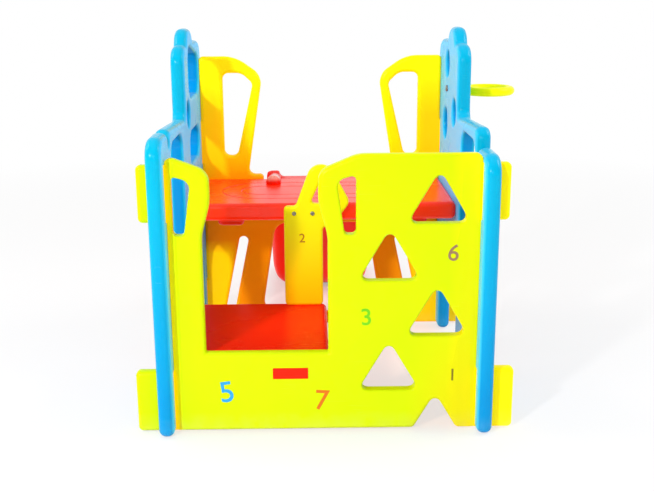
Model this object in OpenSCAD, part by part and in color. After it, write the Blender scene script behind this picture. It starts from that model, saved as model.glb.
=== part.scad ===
// Toddler climbing gym: two blue tree shaped side panels, yellow front and rear panels whose tabs
// pass through them, a red deck and step, a centre post with a grab loop, a slide and a ball hoop.

/* [Frame] */
// Distance between the middle planes of the two side panels
frame_w = 864; // [784:10:944]
// Thickness of a side panel
side_t = 42; // [34:1:50]
// Rounding of the outer edges of a side panel as a share of its thickness
side_edge_share = 0.43; // [0.2:0.01:0.45]
// Thickness of the front and rear panels
panel_t = 36; // [30:1:42]
// Rounding of the edges of the front and rear panels as a share of their thickness
edge_share = 0.33; // [0.2:0.01:0.36]
// Gap left round every piece that fits into another
fit_gap = 0.4; // [0.2:0.1:1]
// Height of the front and rear panels above the floor
panel_lift = 3; // [1:1:8]

/* [Side panels] */
// Depth of a side panel from front edge to rear edge
side_depth = 978; // [918:10:1058]
// Height of the front lobe of the left panel
left_lobe_h = 814; // [790:2:840]
// Height of the front lobe of the right panel
right_lobe_h = 766; // [756:2:840]
// Depth of the front lobe
lobe_d = 152; // [132:2:172]
// Height of the shelf between the front lobe and the tall rear part
shelf_h = 815; // [790:1:840]
// Distance of the tall rear part from the front edge
tall_y = 533; // [493:5:573]
// Height of the tall rear part
tall_h = 1012; // [980:2:1040]
// Height of the crown over the tall rear part
crown_rise = 46; // [40:1:54]
// Distance of the side crawl arch from the front edge
arch_y = 458; // [418:5:498]
// Height of the side crawl arch
arch_h = 400; // [340:5:430]
// Width of the rear leg behind the arch
rear_leg = 125; // [110:1:140]
// Height of the window sill above the floor
window_z = 400; // [360:5:460]
// Height of the panel left over the window
window_margin = 44; // [40:1:64]
// Rounding of the window
window_r = 55; // [45:5:85]

/* [Front panel] */
// Distance of the front panel from the front edge of the side panels
front_y = 41; // [32:1:50]
// Height of the front panel
front_h = 767; // [740:1:790]
// Distance of the middle of the gateway from the left end of the panel
gate_in = 254; // [240:1:270]
// Half width of the gateway
gate_half = 165; // [145:1:180]
// Half width of the gateway between its two grips
gate_neck = 141; // [125:1:155]
// Height of the gateway sill
sill_z = 228; // [215:1:270]
// Base of a triangular foothold as a share of the climbing part's width
hold_share = 0.415; // [0.35:0.005:0.44]
// Height of a triangular foothold
hold_h = 142; // [120:2:150]
// Height from one foothold to the next
hold_pitch = 155.5; // [148:0.5:170]

/* [Rear panel] */
// Distance of the rear panel from the rear edge of the side panels
rear_in = 27; // [22:1:36]
// Height of the rear handles
handle_h = 957; // [900:1:990]
// Half width of the crawl opening at its foot
crawl_foot = 214; // [180:2:230]
// Half width of the crawl opening at its head
crawl_head = 161; // [140:1:180]
// Height of the crawl opening
crawl_h = 378; // [330:2:410]

/* [Deck and step] */
// Height of the deck
deck_z = 540; // [500:1:580]
// Thickness of the deck
deck_t = 54; // [46:1:62]
// Distance of the deck from the front edge of the side panels
deck_y = 496; // [460:1:536]
// Height of the step
step_z = 222; // [195:1:255]
// Thickness of the step
step_t = 68; // [60:1:78]
// Right end of the step from the middle of the gym
step_x = 10; // [0:1:20]

/* [Centre post] */
// Width of the post
post_w = 118; // [105:1:135]
// Thickness of the post
post_t = 30; // [26:1:36]
// Left edge of the post from the middle of the gym
post_x = -118; // [-135:1:-105]
// Height of the grab loop over the deck
loop_rise = 136; // [115:1:155]

/* [Slide] */
// Half width of the slide over its rails
slide_half = 190; // [170:1:205]
// Width of a rail
rail_w = 50; // [44:1:58]
// Height of the rails over the bed
rail_h = 62; // [50:1:72]
// Depth of the moulded body below the bed
body_d = 94; // [80:1:108]
// Distance from the rear panel to the foot of the slope
slope_run = 440; // [390:5:500]
// Length of the run out on the floor
runout = 290; // [250:5:340]

/* [Ball hoop] */
// Height of the hoop below the top of the tall rear part
hoop_drop = 157; // [140:1:180]
// Distance of the hoop from the rear edge of the side panels
hoop_back = 225; // [195:1:255]
// Radius of the hoop ring at the middle of its bar
hoop_r = 70; // [58:1:84]
// Thickness of the hoop bar
hoop_bar = 28; // [22:1:32]

/* [Hidden] */
$fn = 48;

blue = [0.0, 0.66, 0.95];
yellow = [0.92, 0.98, 0.06];
red = [0.96, 0.20, 0.10];
steel = [0.72, 0.72, 0.72];

// Cuts run past the faces that they open by this much
overrun = 20;
// Flat steps in a rounded edge and the largest turn between two points of an arc, halved on a wide arc
edge_steps = 2;
arc_turn = 22.5;
wide_arc_r = 100;

// Inner and outer faces of the side panels
inner_x = frame_w / 2 - side_t / 2;
outer_x = frame_w / 2 + side_t / 2;
end_x = inner_x - fit_gap;

// Rounded edges of the plates
side_edge_r = side_edge_share * side_t;
edge_r = edge_share * panel_t;

// Places that follow the rear edge of the side panels
rear_y = side_depth - rear_in - panel_t;
hoop_y = side_depth - hoop_back;
hoop_z = tall_h - hoop_drop;

// Tabs at the ends of the front and rear panels
low_tab_h = 177;
low_tab_out = 61;
up_tab_drop = 25;
up_tab_h = 152;
up_tab_z = front_h - up_tab_drop - up_tab_h;
up_tab_out = 32;
tab_extra_r = 1;
tab_r = edge_r + tab_extra_r;
low_reach = outer_x + low_tab_out;
up_reach = outer_x + up_tab_out;
up_tab_top = up_tab_z + up_tab_h;
corner_r = 3;

// Deck and step tabs that pass through the side panels and the front panel
key_tab_t = 31;
deck_tab_w = 190;
deck_tab_y = (deck_y + rear_y) / 2 - deck_tab_w / 2;
deck_tab_z = deck_z - deck_t / 2 - key_tab_t / 2;
step_tab_x = -142;
step_tab_w = 95;
step_tab_d = 120;
step_tab_y = (front_y + panel_t + arch_y) / 2 - step_tab_d / 2;
step_tab_z = step_z - step_t;
tab_proud = 2;

// Seat in the rear panel for the head of the slide
seat_gap = 10;
seat_drop = 20;

// Feet and small radii
foot_r = side_edge_r + corner_r;

// Middle of the whole part on the floor, where its own origin lies
slide_end = rear_y + panel_t + fit_gap + slope_run + runout;
hoop_gap = 20;
hoop_mid_x = outer_x + hoop_gap + hoop_r;
right_reach = hoop_mid_x + hoop_r + hoop_bar / 2;
mid_x = (right_reach - low_reach) / 2;
mid_y = slide_end / 2;

// Points of an outline

function unit(v) = v / norm(v);
function turn(v, a) = [v[0] * cos(a) - v[1] * sin(a), v[0] * sin(a) + v[1] * cos(a)];
function crossed(u, v) = u[0] * v[1] - u[1] * v[0];
function at(c) = [c[0], c[1]];

// The arc of radius r that rounds the corner b between its neighbours a and c
function corner_arc(a, b, c, r) =
    let (u = unit(a - b), v = unit(c - b), half = acos(u * v) / 2)
    let (sweep = 180 - 2 * half, middle = b + unit(u + v) * r / sin(half))
    let (from = b + u * r / tan(half) - middle, way = crossed(u, v) < 0 ? 1 : -1)
    let (n = max(1, ceil(sweep / (r > wide_arc_r ? arc_turn / 2 : arc_turn))))
    [for (i = [0 : n]) middle + turn(from, way * sweep * i / n)];

// An outline from corners, each with its place and its radius
function rounded(corners) =
    let (n = len(corners))
    [for (i = [0 : n - 1], p = corner_arc(at(corners[(i + n - 1) % n]), at(corners[i]),
                                          at(corners[(i + 1) % n]), corners[i][2])) p];

// A path from corners, whose two ends stay where they are
function rounded_path(corners) =
    let (n = len(corners))
    concat([at(corners[0])],
           [for (i = [1 : n - 2], p = corner_arc(at(corners[i - 1]), at(corners[i]),
                                                 at(corners[i + 1]), corners[i][2])) p],
           [at(corners[n - 1])]);

function area(p, i = 0) = i == len(p) ? 0 : crossed(p[i], p[(i + 1) % len(p)]) / 2 + area(p, i + 1);
function reversed(p) = [for (i = [len(p) - 1 : -1 : 0]) p[i]];
function leftward(p) = area(p) < 0 ? reversed(p) : p;
function mirrored(corners, x) = [for (c = corners) [2 * x - c[0], c[1], c[2]]];
function circle_points(middle, r) =
    let (n = round(360 / arc_turn))
    [for (i = [0 : n - 1]) middle + r * [cos(360 * i / n), sin(360 * i / n)]];
function box_corners(x, z, w, h, r) = [[x, z, r], [x + w, z, r], [x + w, z + h, r], [x, z + h, r]];

// A slot with round ends from p to q
function slot_corners(p, q, w) =
    let (along = unit(q - p) * w / 2, aside = turn(along, 90), r = w / 2 - corner_r)
    [for (c = [p - along - aside, p - along + aside, q + along + aside, q + along - aside])
        [c[0], c[1], r]];

// The outline moved inwards by d, along the middle of the two edges at each point
function moved_in(p, d) =
    let (n = len(p))
    [for (i = [0 : n - 1])
        let (a = turn(unit(p[i] - p[(i + n - 1) % n]), 90), b = turn(unit(p[(i + 1) % n] - p[i]), 90))
        p[i] + d * (a + b) / (1 + a * b)];

// Moulded plates

// Steps across a plate edge, each with its distance inwards and its height
function edge_profile(t, r) = concat(
    [for (i = [0 : edge_steps]) let (a = 90 - 90 * i / edge_steps) [r - r * cos(a), r - r * sin(a) - t / 2]],
    [for (i = [0 : edge_steps]) let (a = 90 * i / edge_steps) [r - r * cos(a), t / 2 - r + r * sin(a)]]);
// The same steps for a hole, which widens towards both faces and runs past them
function rim_profile(t, r) = concat(
    [[-r, -t / 2 - overrun]],
    [for (s = edge_profile(t, r)) [-s[0], s[1]]],
    [[-r, t / 2 + overrun]]);

module skin(outline, profile) {
    points = leftward(outline);
    n = len(points);
    rings = [for (s = profile, p = moved_in(points, s[0])) [p[0], p[1], s[1]]];
    last = n * (len(profile) - 1);
    sides = [for (j = [0 : len(profile) - 2], i = [0 : n - 1])
        let (a = j * n + i, b = j * n + (i + 1) % n) [a, a + n, b + n, b]];
    foot = [for (i = [0 : n - 1]) i];
    head = [for (i = [n - 1 : -1 : 0]) last + i];
    polyhedron(points = rings, faces = concat([foot], sides, [head]));
}

// A plate with rounded edges round its outline and its holes, brought to its thickness
module plate(outline, holes, t, r, hole_r) {
    resize([0, 0, t])
        difference() {
            skin(outline, edge_profile(t, r));
            for (h = holes) skin(h, rim_profile(t, hole_r));
            children();
        }
}

module stand_across() rotate([90, 0, 0]) children();
module stand_along() rotate([90, 0, 90]) children();
module placed() translate([-mid_x, -mid_y, 0]) children();

// Side panels

// The hollow between the front lobe and the shelf, and the roundings round it
hollow_d = 20;
hollow_r = 8;
lobe_drop = 30;
shelf_drop = 40;
lobe_r = 55;
lobe_back_r = 30;
shelf_r = 34;
shelf_hollow_r = 28;
shelf_y = lobe_d + hollow_d;
// The shelf falls towards the tall part
shelf_fall = 18;

// The crown sits on the tall part, and its sides lean inwards
crown_in_share = 0.2;
crown_share = 0.363;
crown_lean = 30;
crown_fillet_r = 14;
tall_d = side_depth - tall_y;
crown_y = tall_y + crown_in_share * tall_d;
crown_d = crown_share * tall_d;
crown_h = tall_h + crown_rise;

arch_d = side_depth - rear_leg - arch_y;
arch_r_share = 0.443;
arch_r = arch_r_share * arch_d;

function valley_z(lobe_h) = min(lobe_h - lobe_drop, shelf_h - shelf_drop);
// A rounding of at most r that still leaves room for the hollow below it
function top_r(r, h) = min(r, h - hollow_r - corner_r);
function side_corners(lobe_h) = [
    [0, 0, foot_r],
    [arch_y, 0, foot_r],
    [arch_y, arch_h, arch_r],
    [arch_y + arch_d, arch_h, arch_r],
    [arch_y + arch_d, 0, foot_r],
    [side_depth, 0, foot_r],
    [side_depth, tall_h, lobe_r],
    [crown_y + crown_d, tall_h, crown_fillet_r],
    [crown_y + crown_d - crown_lean, crown_h, lobe_r],
    [crown_y + crown_lean, crown_h, lobe_r],
    [crown_y, tall_h, crown_fillet_r],
    [tall_y, tall_h, lobe_r],
    [tall_y, shelf_h - shelf_fall, shelf_hollow_r],
    [shelf_y, shelf_h, top_r(shelf_r, shelf_h - valley_z(lobe_h))],
    [shelf_y, valley_z(lobe_h), hollow_r],
    [lobe_d, valley_z(lobe_h), hollow_r],
    [lobe_d, lobe_h, top_r(lobe_back_r, lobe_h - valley_z(lobe_h))],
    [0, lobe_h, lobe_r]];

// The window under the shelf
window_front = 16;
window_back = 93;
window_y = shelf_y + window_front;
window_d = tall_y - window_back - window_y;
window_h = shelf_h - window_margin - window_z;
window = rounded(box_corners(window_y, window_z, window_d, window_h, window_r));

// Both panels have a round hole near the front of the tall part
rim_r = 10;
low_hole_shift = [74, -210];
low_hole = [tall_y, tall_h] + low_hole_shift;
low_hole_r = 42;

// The left panel has two long holes, the right panel two round ones above and below the hoop bolt
high_front = 98;
high_back = 70;
high_drop = 170;
high_front_rise = 8;
high_back_drop = 46;
high_front_r = 72;
high_back_r = 50;
left_high_corners = [
    [tall_y + high_front, tall_h - high_drop, high_front_r],
    [side_depth - high_back, tall_h - high_drop, high_back_r],
    [side_depth - high_back, tall_h - high_back_drop, high_back_r],
    [tall_y + high_front, tall_h + high_front_rise, high_front_r]];
mid_front = 82;
mid_back = 110;
mid_drop = 375;
mid_h = 104;
left_mid = [tall_y + mid_front, tall_h - mid_drop];
left_mid_size = [tall_d - mid_front - mid_back, mid_h];
right_high_shift = [17, 85];
right_high = [hoop_y, hoop_z] + right_high_shift;
right_high_r = 42;
right_mid_shift = [43, -109];
right_mid = [hoop_y, hoop_z] + right_mid_shift;
right_mid_r = 51;

function long_hole(place, size) =
    rounded(box_corners(place[0], place[1], size[0], size[1], size[1] / 2 - corner_r));
left_holes = [window, circle_points(low_hole, low_hole_r), rounded(left_high_corners),
              long_hole(left_mid, left_mid_size)];
right_holes = [window, circle_points(low_hole, low_hole_r), circle_points(right_high, right_high_r),
               circle_points(right_mid, right_mid_r)];

// A slot through the plate for a tab, with the gap all round it
module slot(y, z, d, h) {
    translate([y - fit_gap, z - fit_gap, -side_t])
        cube([d + 2 * fit_gap, h + 2 * fit_gap, 2 * side_t]);
}
module panel_slots(y) {
    slot(y, -overrun, panel_t, low_tab_h + overrun);
    slot(y, up_tab_z, panel_t, up_tab_h);
}
module side_panel(lobe_h, holes) {
    stand_along()
        plate(rounded(side_corners(lobe_h)), holes, side_t, side_edge_r, rim_r) {
            panel_slots(front_y);
            panel_slots(rear_y);
            slot(deck_tab_y, deck_tab_z, deck_tab_w, key_tab_t);
            children();
        }
}
module left_side_panel() {
    color(blue)
        translate([-frame_w / 2, 0, 0])
            side_panel(left_lobe_h, left_holes)
                slot(step_tab_y, step_tab_z, step_tab_d, key_tab_t);
}
module right_side_panel() {
    color(blue)
        translate([frame_w / 2, 0, 0])
            side_panel(right_lobe_h, right_holes)
                translate([hoop_y, hoop_z + bolt_rise, -side_t])
                    cylinder(d = bolt_d + 2 * fit_gap, h = 2 * side_t);
}

// Front panel

gate_x = gate_in - end_x;
bend_drop = 215;
bend_z = front_h - bend_drop;
neck_drop = 127;
neck_z = front_h - neck_drop;
brow_drop = 43;
brow_z = front_h - brow_drop;
brow_run = 103;
bend_r = 120;
brow_r = 40;
shoulder_r = 80;

grip_margin = 14;
grip_bar = 48;
grip_leg = 45;
grip_out = gate_in - grip_margin;
grip_in = gate_neck + grip_bar;
grip_foot = gate_half + grip_leg;
grip_drop = 54;
grip_top = front_h - grip_drop;
grip_slope = 15;
grip_len = 158;
grip_bottom = grip_top - grip_len;
grip_r = 12;
grip_head_r = 24;
// Rounding of the edges round the openings of the front panel
opening_rim_r = 7;

// Footholds in two columns, at shares of the climbing part's width
wall_x = gate_x + gate_half;
wall_w = end_x - wall_x;
hold_column_shares = [0.726, 0.407];
hold_w = hold_share * wall_w;
hold_drop = 184;
hold_top_z = front_h - hold_drop;
hold_r = 18;
hold_rows = 5;
function hold_x(i) = wall_x + hold_column_shares[i % 2] * wall_w;

// Margins of the front face that slope back towards the side panels
left_margin = 24;
right_margin = 54;
margin_drop = 11;

// The end of a panel with its two tabs, from the floor up to the height top
function tab_corners(top) = [
    [low_reach, panel_lift, tab_r],
    [low_reach, low_tab_h, tab_r],
    [end_x, low_tab_h, corner_r],
    [end_x, up_tab_z, corner_r],
    [up_reach, up_tab_z, tab_r],
    [up_reach, up_tab_top, tab_r],
    [end_x, up_tab_top, corner_r],
    [end_x, top, tab_r]];
// One side of the gateway, from the sill up
gate_side = [
    [gate_x + gate_half, sill_z, corner_r],
    [gate_x + gate_half, bend_z, bend_r],
    [gate_x + gate_neck, neck_z, bend_r],
    [gate_x + gate_neck, brow_z, brow_r]];
front_corners = concat(
    tab_corners(front_h),
    [[gate_x + gate_neck + brow_run, front_h, shoulder_r]],
    reversed(gate_side),
    mirrored(gate_side, gate_x),
    reversed(mirrored(tab_corners(front_h), 0)));
grip_corners = [
    [gate_x + grip_out, grip_top, grip_r],
    [gate_x + grip_in, grip_top - grip_slope, grip_head_r],
    [gate_x + grip_foot, grip_bottom, grip_r],
    [gate_x + grip_out, grip_bottom, grip_r]];
function hold_corners(x, z) = [
    [x - hold_w / 2, z, hold_r],
    [x + hold_w / 2, z, hold_r],
    [x, z + hold_h, hold_r]];
front_holes = concat(
    [rounded(grip_corners), rounded(mirrored(grip_corners, gate_x))],
    [for (i = [0 : hold_rows - 1]) rounded(hold_corners(hold_x(i), hold_top_z - hold_pitch * i))]);

// The wedge that a margin of that width loses at the right end of the front face
module margin_cut(width) {
    slope = atan(margin_drop / width);
    translate([end_x - width, -overrun, panel_t / 2])
        rotate([0, slope, 0])
            cube([width / cos(slope), front_h + 2 * overrun, overrun]);
}
module front_panel() {
    color(yellow)
        translate([0, front_y + panel_t / 2, 0])
            stand_across()
                plate(rounded(front_corners), front_holes, panel_t, edge_r, opening_rim_r) {
                    translate([step_tab_x - fit_gap, step_tab_z - fit_gap, -panel_t])
                        cube([step_tab_w + 2 * fit_gap, key_tab_t + 2 * fit_gap, 2 * panel_t]);
                    margin_cut(right_margin);
                    mirror([1, 0, 0]) margin_cut(left_margin);
                }
}

// Rear panel

seat_half = slide_half + seat_gap;
seat_z = deck_z - seat_drop;
seat_r = 8;
rear_rise = 13;
rear_h = deck_z + rear_rise;

// Handle, set out from the seat of the slide and from its own top
handle_shoulder = 90;
handle_lean = 2;
handle_foot = 52;
handle_side_drop = 65;
handle_top_x = seat_half + handle_shoulder;
handle_side_x = seat_half - handle_lean;
handle_side_z = handle_h - handle_side_drop;
handle_root_x = seat_half + handle_foot;
handle_top_r = 110;
handle_side_r = 55;
handle_root_r = 22;

// Opening of the handle
opening_side = 78;
opening_drop = 56;
opening_shoulder = 68;
opening_bar = 31;
opening_in_drop = 91;
opening_leg = 88;
opening_rise = 80;
opening_out = end_x - opening_side;
opening_top = handle_h - opening_drop;
opening_bend = seat_half + opening_shoulder;
opening_in = seat_half + opening_bar;
opening_in_z = handle_h - opening_in_drop;
opening_foot = seat_half + opening_leg;
opening_bottom = deck_z + opening_rise;
opening_r_share = 0.46;
opening_r = opening_r_share * (opening_out - opening_foot);
opening_bend_r = 40;

crawl_sill = 45;
crawl_r = 45;
slit_top = [276, 314];
slit_bottom = [328, 66];
slit_w = 32;

handle_corners = [
    [handle_top_x, handle_h, handle_top_r],
    [handle_side_x, handle_side_z, handle_side_r],
    [handle_root_x, rear_h, handle_root_r],
    [seat_half, rear_h, tab_r],
    [seat_half, seat_z, seat_r]];
rear_side = concat(tab_corners(handle_h), handle_corners);
opening_corners = [
    [opening_out, opening_bottom, opening_r],
    [opening_out, opening_top, opening_r],
    [opening_bend, opening_top, opening_bend_r],
    [opening_in, opening_in_z, opening_r],
    [opening_foot, opening_bottom, opening_r]];
crawl_corners = [
    [-crawl_foot, crawl_sill, crawl_r],
    [crawl_foot, crawl_sill, crawl_r],
    [crawl_head, crawl_h, crawl_r],
    [-crawl_head, crawl_h, crawl_r]];
slit_corners = slot_corners(slit_bottom, slit_top, slit_w);
rear_holes = concat(
    [rounded(crawl_corners)],
    [for (c = [opening_corners, mirrored(opening_corners, 0), slit_corners, mirrored(slit_corners, 0)])
        rounded(c)]);

module rear_panel() {
    color(yellow)
        translate([0, rear_y + panel_t / 2, 0])
            stand_across()
                plate(rounded(concat(rear_side, reversed(mirrored(rear_side, 0)))), rear_holes, panel_t,
                      edge_r, edge_r);
}

// Deck

deck_edge_share = 0.3;
deck_edge_r = deck_edge_share * deck_t;
deck_corner_r = deck_edge_r;
groove_w = 5;
groove_d = 2;
groove_half = 130;
groove_reach = 325;
groove_step = 62;
grooves = 2;
groove_fn = 32;
rib_w = 82;
rib_d = 18;
rib_x = 283;
rib_in = 10;
deck_back = rear_y - fit_gap;
deck_len = deck_back - deck_y;

// A ring with straight sides and round ends, half as wide as half
module ring_area(reach, half) {
    square([2 * (reach - half), 2 * half], center = true);
    for (s = [-1, 1]) translate([s * (reach - half), 0]) circle(half, $fn = groove_fn);
}
module deck_grooves() {
    for (i = [0 : grooves - 1]) {
        half = groove_half - groove_step * i;
        reach = groove_reach - groove_step * i;
        linear_extrude(groove_d + overrun)
            difference() {
                ring_area(reach, half);
                ring_area(reach - groove_w, half - groove_w);
            }
    }
}
module deck_body() {
    outline = rounded(box_corners(-end_x, deck_y, 2 * end_x, deck_len, deck_corner_r));
    rib = rounded(box_corners(-rib_w / 2, deck_y + rib_in, rib_w, deck_len - 2 * rib_in, deck_corner_r));
    skin(outline, edge_profile(deck_t, deck_edge_r));
    translate([-outer_x - tab_proud, deck_tab_y, -key_tab_t / 2])
        cube([2 * (outer_x + tab_proud), deck_tab_w, key_tab_t]);
    for (s = [-1, 1])
        translate([s * rib_x, 0, -deck_t / 2])
            skin(rib, edge_profile(2 * rib_d, rib_d - corner_r));
}
module deck() {
    color(red)
        difference() {
            translate([0, 0, deck_z - deck_t / 2])
                resize([0, 0, deck_t + rib_d])
                    difference() {
                        deck_body();
                        translate([0, deck_y + deck_len / 2, deck_t / 2 - groove_d])
                            deck_grooves();
                    }
            post_screw_places() bore(post_t + screw_bite);
            slide_screw_places() bore(ear_screw_len);
        }
}

// Step

step_front = front_y + panel_t + fit_gap;
step_back = deck_y;
step_edge_share = 0.2;
step_edge_r = step_edge_share * step_t;

module step_body() {
    outline = rounded(box_corners(-end_x, step_front, end_x + step_x, step_back - step_front, foot_r));
    skin(outline, edge_profile(step_t, step_edge_r));
    translate([step_tab_x, front_y - tab_proud, -step_t / 2])
        cube([step_tab_w, panel_t + 2 * foot_r, key_tab_t]);
    translate([-outer_x - tab_proud, step_tab_y, -step_t / 2])
        cube([side_t + 2 * foot_r, step_tab_d, key_tab_t]);
}
module step() {
    color(red)
        difference() {
            translate([0, 0, step_z - step_t / 2])
                resize([0, 0, step_t])
                    step_body();
            foot_screw_places() bore(step_t + screw_bite);
        }
}

// Centre post

post_y = deck_y - fit_gap - post_t / 2;
post_drop = 3;
post_top = deck_z - post_drop;
post_foot = step_z + fit_gap;
post_edge_share = 0.3;
post_edge_r = post_edge_share * post_t;
post_r = post_edge_r + corner_r;

// Grab loop, set out from the left edge of the post and the height of the deck
loop_h = deck_z + loop_rise;
loop_left = [36, -post_drop];
loop_top_left = 82;
loop_top_right = 140;
loop_right = [202, 8];
loop_end = [164, -42];
loop_join_drop = 72;
loop_r = 40;
loop_end_r = 24;
eye_left = 66;
eye_right = 160;
eye_rise = 5;
eye_top_in = 119;
eye_top_drop = 34;
eye_r = 12;
post_corners = [
    [post_x, post_foot, post_r],
    [post_x + post_w, post_foot, post_r],
    [post_x + post_w, deck_z - loop_join_drop, post_r],
    [post_x + loop_end[0], deck_z + loop_end[1], loop_end_r],
    [post_x + loop_right[0], deck_z + loop_right[1], loop_end_r],
    [post_x + loop_top_right, loop_h, loop_r],
    [post_x + loop_top_left, loop_h, loop_r],
    [post_x + loop_left[0], deck_z + loop_left[1], post_r],
    [post_x, post_top, post_r]];
eye_corners = [
    [post_x + eye_left, deck_z + eye_rise, eye_r],
    [post_x + eye_right, deck_z + eye_rise, eye_r],
    [post_x + eye_top_in, loop_h - eye_top_drop, eye_r]];

screw_drop = 21;
screw_in = 31;
screw_d = 5;
screw_head_d = 13;
screw_head_t = 4;
screw_bite = 24;
bore_d = screw_d + 2 * fit_gap;

module post_screw_places() {
    for (x = [post_x + screw_in, post_x + post_w - screw_in])
        translate([x, post_y - post_t / 2, post_top - screw_drop])
            rotate([-90, 0, 0])
                children();
}
module foot_screw_places() {
    for (x = [post_x + screw_in, post_x + post_w - screw_in])
        translate([x, post_y, step_z - step_t])
            children();
}
module slide_screw_places() {
    for (s = [-1, 1])
        translate([s * ear_x, ear_screw_y, ear_seat_z])
            rotate([180, 0, 0])
                children();
}
// A pan head screw that points along Z from the face under its head
module screw(length) {
    translate([0, 0, -screw_head_t])
        cylinder(d = screw_head_d, h = screw_head_t);
    cylinder(d = screw_d, h = length);
}
module bore(length) {
    translate([0, 0, -overrun])
        cylinder(d = bore_d, h = length + overrun);
}
module centre_post() {
    color(yellow)
        difference() {
            translate([0, post_y, 0])
                stand_across()
                    plate(rounded(post_corners), [rounded(eye_corners)], post_t, post_edge_r,
                          post_edge_r);
            post_screw_places() bore(post_t + overrun);
            foot_screw_places() bore(step_t + screw_bite);
        }
}
module post_screws() {
    color(steel)
        post_screw_places() screw(post_t + screw_bite - screw_d);
}
module post_foot_screws() {
    color(steel)
        foot_screw_places() screw(step_t + screw_bite - screw_d);
}

// Slide

slide_start = rear_y + panel_t + fit_gap;
bed_half = slide_half - rail_w;
bed_drop = 6;
bed_top = deck_z - bed_drop;
lip_len = 75;
bend_top_r = 130;
bend_foot_r = 170;
bed_foot_z = body_d;
rail_top_r = 20;
rail_in_r = 10;
rail_lean = 10;
side_drop = 28;
side_r = 40;
bottom_in = 22;
bottom_r = 60;
bed_r = 30;
slide_end_r = 8;
rail_grow = 150;
rail_fade = 150;
rail_start_share = 0.25;
rail_end_share = 0.35;

bed_path = concat(
    rounded_path([
        [slide_start, bed_top],
        [slide_start + lip_len, bed_top, bend_top_r],
        [slide_start + slope_run, bed_foot_z, bend_foot_r],
        [slide_end - rail_fade, bed_foot_z]]),
    [[slide_end - slide_end_r, bed_foot_z]]);
slide_section = rounded([
    [slide_half, rail_h, rail_top_r],
    [bed_half + rail_lean, rail_h, rail_in_r],
    [bed_half, 0, bed_r],
    [-bed_half, 0, bed_r],
    [-bed_half - rail_lean, rail_h, rail_in_r],
    [-slide_half, rail_h, rail_top_r],
    [-slide_half, -side_drop, side_r],
    [-slide_half + bottom_in, -body_d, bottom_r],
    [slide_half - bottom_in, -body_d, bottom_r],
    [slide_half, -side_drop, side_r]]);

// Rails rise from the head of the slide and fade out towards its foot
function rail_at(y) = min(1, rail_start_share + (1 - rail_start_share) * (y - slide_start) / rail_grow,
                          rail_end_share + (1 - rail_end_share) * (slide_end - y) / rail_fade);
// The upward direction at a point of the bed, between the directions of its two neighbours
function bed_up(i) =
    let (n = len(bed_path), a = bed_path[max(i, 1)] - bed_path[max(i, 1) - 1])
    let (k = min(i, n - 2), b = bed_path[k + 1] - bed_path[k])
    let (p = turn(unit(a), 90), q = turn(unit(b), 90))
    (p + q) / (1 + p * q);
function section_at(place, up, inwards) =
    [for (s = moved_in(slide_section, inwards))
        let (h = s[1] > 0 ? s[1] * rail_at(place[0]) : s[1])
        [s[0], place[0] + up[0] * h, place[1] + up[1] * h]];
slide_rings = concat(
    [for (i = [0 : len(bed_path) - 1]) section_at(bed_path[i], bed_up(i), 0)],
    [for (i = [1 : edge_steps])
        let (a = 90 * i / edge_steps)
        section_at([slide_end - slide_end_r + slide_end_r * sin(a), bed_foot_z], [0, 1],
                   slide_end_r - slide_end_r * cos(a))]);

module slide_sweep() {
    n = len(slide_section);
    last = n * (len(slide_rings) - 1);
    sides = [for (j = [0 : len(slide_rings) - 2], i = [0 : n - 1])
        let (a = j * n + i, b = j * n + (i + 1) % n) [a, b, b + n, a + n]];
    head = [for (i = [n - 1 : -1 : 0]) i];
    foot = [for (i = [0 : n - 1]) last + i];
    polyhedron(points = [for (r = slide_rings, p = r) p], faces = concat([head], sides, [foot]));
}

// Rail ends that lie on the deck, round bars with a ball end that fall towards the slope
ear_r = 25;
ear_in = 28;
ear_x = slide_half - ear_in;
ear_reach = 101;
ear_y = rear_y - ear_reach;
ear_rise = 4;
ear_seat_rise = 9;
ear_fall = 28;
ear_len = slide_start + lip_len - ear_y;
ear_fn = 20;
ear_screw_in = 47;
ear_screw_y = rear_y - ear_screw_in;
ear_seat_z = deck_z + ear_seat_rise;
ear_screw_len = 40;

module ears() {
    angle = 90 + atan(ear_fall / ear_len);
    for (s = [-1, 1])
        translate([s * ear_x, ear_y, deck_z + ear_rise]) {
            sphere(ear_r, $fn = ear_fn);
            rotate([-angle, 0, 0])
                cylinder(r = ear_r, h = ear_len, $fn = ear_fn);
        }
}
module slide_body() {
    slide_sweep();
    translate([-bed_half - rail_lean, rear_y, seat_z + fit_gap])
        cube([2 * (bed_half + rail_lean), panel_t + lip_len / 2, bed_top - seat_z - fit_gap]);
    difference() {
        ears();
        translate([-slide_half - overrun, deck_y, 0])
            cube([2 * (slide_half + overrun), rear_y - deck_y, deck_z + fit_gap]);
        translate([-slide_half - overrun, deck_y, 0])
            cube([2 * (slide_half + overrun), slide_start - deck_y, seat_z + fit_gap]);
    }
}
module slide() {
    color(red)
        difference() {
            resize([2 * slide_half, 0, 0])
                slide_body();
            slide_screw_places() {
                bore(ear_screw_len);
                translate([0, 0, -ear_r - overrun])
                    cylinder(d = screw_head_d + 2 * fit_gap, h = ear_r + overrun);
            }
        }
}
module slide_screws() {
    color(steel)
        slide_screw_places() screw(ear_screw_len - screw_d);
}

// Ball hoop

bolt_rise = 7;
bolt_d = 8;
bolt_head_d = 20;
bolt_head_t = 6;
bolt_tip = 4;
nut_w = 13;
nut_t = 7;
arm_w = 54;
arm_h = 46;
arm_rise = 7;
arm_r = 8;
arm_t = 34;

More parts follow.
